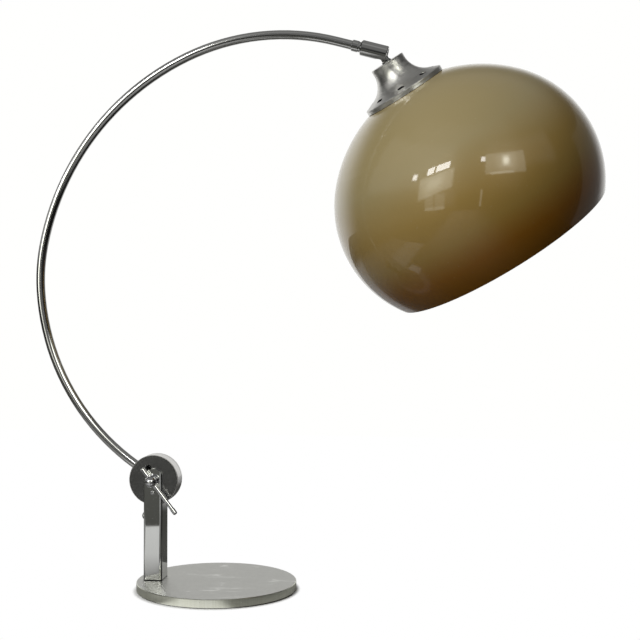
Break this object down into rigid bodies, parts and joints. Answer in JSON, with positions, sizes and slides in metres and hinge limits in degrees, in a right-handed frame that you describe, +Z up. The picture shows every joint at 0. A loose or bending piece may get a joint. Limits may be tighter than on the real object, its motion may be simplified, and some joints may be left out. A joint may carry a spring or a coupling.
{
  "type": "table lamp",
  "caption": "Arc table lamp: a round base, a forked post with a clamped drum, a bent tube arm and a domed shade on a slotted ball swivel.",
  "frame": {"origin": "centre of the underside of the round base", "axes": "+Z up, +X from the post towards the shade, -Y the side of the clamp handle"},
  "size_m": [0.6277, 0.3017, 0.614],
  "materials": {
    "ground_steel": "fine ground, satin",
    "felt": "pressed felt",
    "chrome": "polished plating",
    "drum_steel": "brushed faces, turned rim",
    "screw_steel": "turned",
    "spring_steel": "plain",
    "satin_aluminium": "turned, satin",
    "brass": "turned",
    "black_plastic": "moulded",
    "holder_plastic": "moulded, glossy",
    "gasket_rubber": "plain",
    "ceramic": "unglazed",
    "olive_acrylic": "glossy, lets some light through",
    "bulb_glass": "pearl"
  },
  "bodies": {
    "base": {"base_plate": "ground_steel", "base_felt": "felt", "foot_screws": "screw_steel", "post": "chrome", "side_screw": "screw_steel", "stop_screw": "screw_steel", "clamp_nut": "chrome"},
    "arm": {"drum": "drum_steel", "arm_tube": "chrome", "tube_grub_screw": "screw_steel", "cord_bushing": "black_plastic", "arm_collar": "chrome", "swivel_spigot": "brass"},
    "clamp_slider": {"clamp_washer": "chrome"},
    "clamp_screw": {"clamp_screw": "chrome"},
    "clamp_bar": {"tommy_bar": "chrome", "bar_tip_long": "chrome", "bar_tip_short": "chrome"},
    "swivel": {"swivel_barrel": "chrome", "barrel_back_ring": "brass", "disc_springs": "spring_steel", "friction_cup": "brass"},
    "head": {"ball_stem": "chrome", "cap": "satin_aluminium", "cap_lock_nut": "screw_steel", "coupling_sleeve": "brass", "nipple_tube": "screw_steel", "cap_gasket": "gasket_rubber", "shade": "olive_acrylic", "shade_carrier": "screw_steel", "carrier_nut": "screw_steel", "holder_dome": "holder_plastic", "holder_shell": "holder_plastic", "holder_insert": "ceramic", "terminal_screws": "brass", "holder_screw_shell": "brass", "holder_contact": "brass", "bulb_cap": "screw_steel", "bulb_glass": "bulb_glass"}
  },
  "joints": [
    {"name": "arm_swing", "type": "hinge", "parent": "base", "child": "arm", "pos_m": [-0.0694, 0, 0.1205], "axis": [0, 1, 0], "range_deg": [-30, 20]},
    {"name": "clamp_travel", "type": "slide", "parent": "base", "child": "clamp_slider", "axis": [0, -1, 0], "range_m": [0, 0.0019]},
    {"name": "clamp_turn", "type": "hinge", "parent": "clamp_slider", "child": "clamp_screw", "pos_m": [-0.0694, -0.019, 0.1205], "axis": [0, -1, 0], "range_deg": [0, 540]},
    {"name": "bar_slide", "type": "slide", "parent": "clamp_screw", "child": "clamp_bar", "axis": [0.6157, 0, -0.788], "range_m": [-0.0313, 0.0083]},
    {"name": "barrel_swivel", "type": "hinge", "parent": "arm", "child": "swivel", "pos_m": [0.15659, 0, 0.59355], "axis": [0.9659, 0, -0.2588], "range_deg": [-183.3, 146.7]},
    {"name": "head_tilt", "type": "hinge", "parent": "swivel", "child": "head", "pos_m": [0.17822, 0, 0.58775], "axis": [0.0813, 0.9494, 0.3033], "range_deg": [-24.3, 45.7]}
  ],
  "couplings": [
    {"joint": "clamp_travel", "follows": "clamp_turn", "m_per_rad": 0.00019894}
  ]
}
